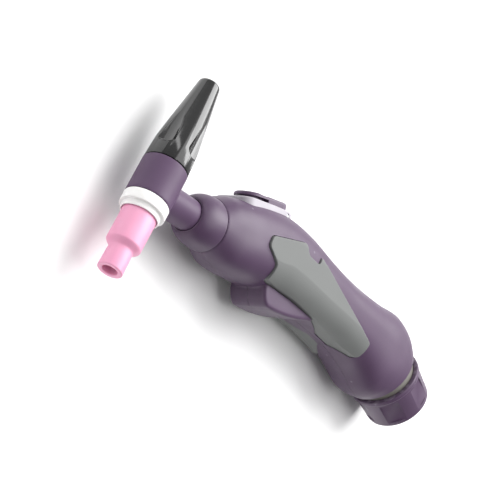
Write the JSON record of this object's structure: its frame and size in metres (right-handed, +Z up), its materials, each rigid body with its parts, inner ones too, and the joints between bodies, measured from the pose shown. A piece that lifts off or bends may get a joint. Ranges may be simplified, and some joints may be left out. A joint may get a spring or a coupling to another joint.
{
  "type": "tig torch",
  "caption": "Small air-cooled TIG welding torch: ceramic cup, back cap, insulated head and neck, gripped handle with press switch and a swivelling cable collar.",
  "frame": {"origin": "centre of the footprint on the bench, the torch lying on its left side grip", "axes": "+X rearwards along the handle, +Y along the head towards the back cap, +Z up out of the torch's middle plane"},
  "size_m": [0.2142, 0.1016, 0.0332],
  "materials": {
    "purple_plastic": "fine moulded grain, satin",
    "silicone_purple": "moulded silicone, satin",
    "grey_grip": "matt soft-touch",
    "grey_plastic": "matt",
    "black_phenolic": "polished",
    "pink_alumina": "smooth fired ceramic",
    "white_ptfe": "matt",
    "grey_ball": "satin",
    "brass": "turned",
    "copper": "drawn",
    "tungsten": "ground",
    "steel": "plated",
    "black_rubber": "matt",
    "black_plastic": "satin",
    "red_plastic": "satin"
  },
  "bodies": {
    "handle": {"head_insulator": "silicone_purple", "torch_head_core": "brass", "neck_tube": "copper", "cup_gasket": "white_ptfe", "collet_body": "brass", "collet": "copper", "nose_collar": "purple_plastic", "handle_shell_right": "purple_plastic", "handle_shell_left": "purple_plastic", "grip_panel_right": "grey_grip", "grip_panel_left": "grey_grip", "power_adaptor": "brass", "hose_barb": "brass", "handle_screw_1": "steel", "handle_screw_2": "steel", "handle_screw_3": "steel", "switch_base": "grey_plastic", "switch_hinge_pin": "steel", "microswitch_body": "black_plastic", "switch_spring": "steel"},
    "cup": {"ceramic_cup": "pink_alumina"},
    "cap": {"back_cap": "black_phenolic", "back_cap_thread": "brass", "back_cap_o_ring": "black_rubber"},
    "electrode": {"tungsten_electrode": "tungsten"},
    "button": {"switch_button": "purple_plastic"},
    "plunger": {"microswitch_plunger": "red_plastic"},
    "knuckle": {"knuckle_ball": "grey_ball"},
    "collar": {"rear_collar": "purple_plastic", "cable_sleeve": "black_rubber"}
  },
  "joints": [
    {"name": "cup_turn", "type": "hinge", "parent": "handle", "child": "cup", "pos_m": [-0.09751, -0.03251, 0.0166], "axis": [0, -1, 0], "range_deg": [0, 270]},
    {"name": "cap_turn", "type": "hinge", "parent": "handle", "child": "cap", "pos_m": [-0.09751, 0.01249, 0.0166], "axis": [0, 1, 0], "range_deg": [0, 270]},
    {"name": "electrode_slide", "type": "slide", "parent": "handle", "child": "electrode", "axis": [0, -1, 0], "range_m": [-0.004, 0.014]},
    {"name": "switch_press", "type": "hinge", "parent": "handle", "child": "button", "pos_m": [-0.02951, 0.02969, 0.0166], "axis": [0, 0, 1], "range_deg": [0, 4], "stiffness_Nm_per_rad": 0.35, "springref_deg": -3.44, "deforming": ["switch_spring"]},
    {"name": "plunger_press", "type": "slide", "parent": "handle", "child": "plunger", "axis": [0.4462, -0.8949, 0], "range_m": [0, 0.0007]},
    {"name": "knuckle_swing", "type": "hinge", "parent": "handle", "child": "knuckle", "pos_m": [0.08428, 0.02983, 0.0166], "axis": [0, 0, 1], "range_deg": [-10, 10]},
    {"name": "collar_swing", "type": "hinge", "parent": "knuckle", "child": "collar", "pos_m": [0.08428, 0.02983, 0.0166], "axis": [0.1167, 0.9932, 0], "range_deg": [-10, 10]}
  ],
  "couplings": [
    {"joint": "plunger_press", "follows": "switch_press", "m_per_rad": 0.0087}
  ]
}
